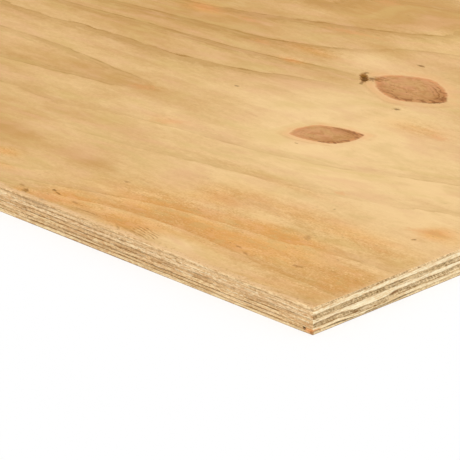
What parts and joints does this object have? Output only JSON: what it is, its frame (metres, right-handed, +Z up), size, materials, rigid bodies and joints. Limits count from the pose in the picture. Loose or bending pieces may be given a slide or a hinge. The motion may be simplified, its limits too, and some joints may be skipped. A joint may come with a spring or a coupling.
{
  "type": "plywood sheet",
  "caption": "Flat rectangular softwood plywood sheet of crossed pine veneers, sanded face with knots, sawn edges that show alternating end grain and side grain.",
  "frame": {"origin": "middle of the underside, where the sheet rests", "axes": "+X along the length, which is the face grain, +Y across the width, +Z up out of the face"},
  "size_m": [2.44, 1.22, 0.018],
  "materials": {
    "face_veneer": "sanded, unfinished pine face with soft growth bands and knots",
    "crossband_veneer": "sawn pine veneer, grain across the sheet",
    "centre_veneer": "sawn pine veneer, grain along the sheet",
    "back_veneer": "lower-grade pine back, lightly sanded"
  },
  "bodies": {
    "root": {"face_veneer": "face_veneer", "crossband_1": "crossband_veneer", "centre_1": "centre_veneer", "crossband_2": "crossband_veneer", "centre_2": "centre_veneer", "crossband_3": "crossband_veneer", "back_veneer": "back_veneer"}
  },
  "joints": []
}
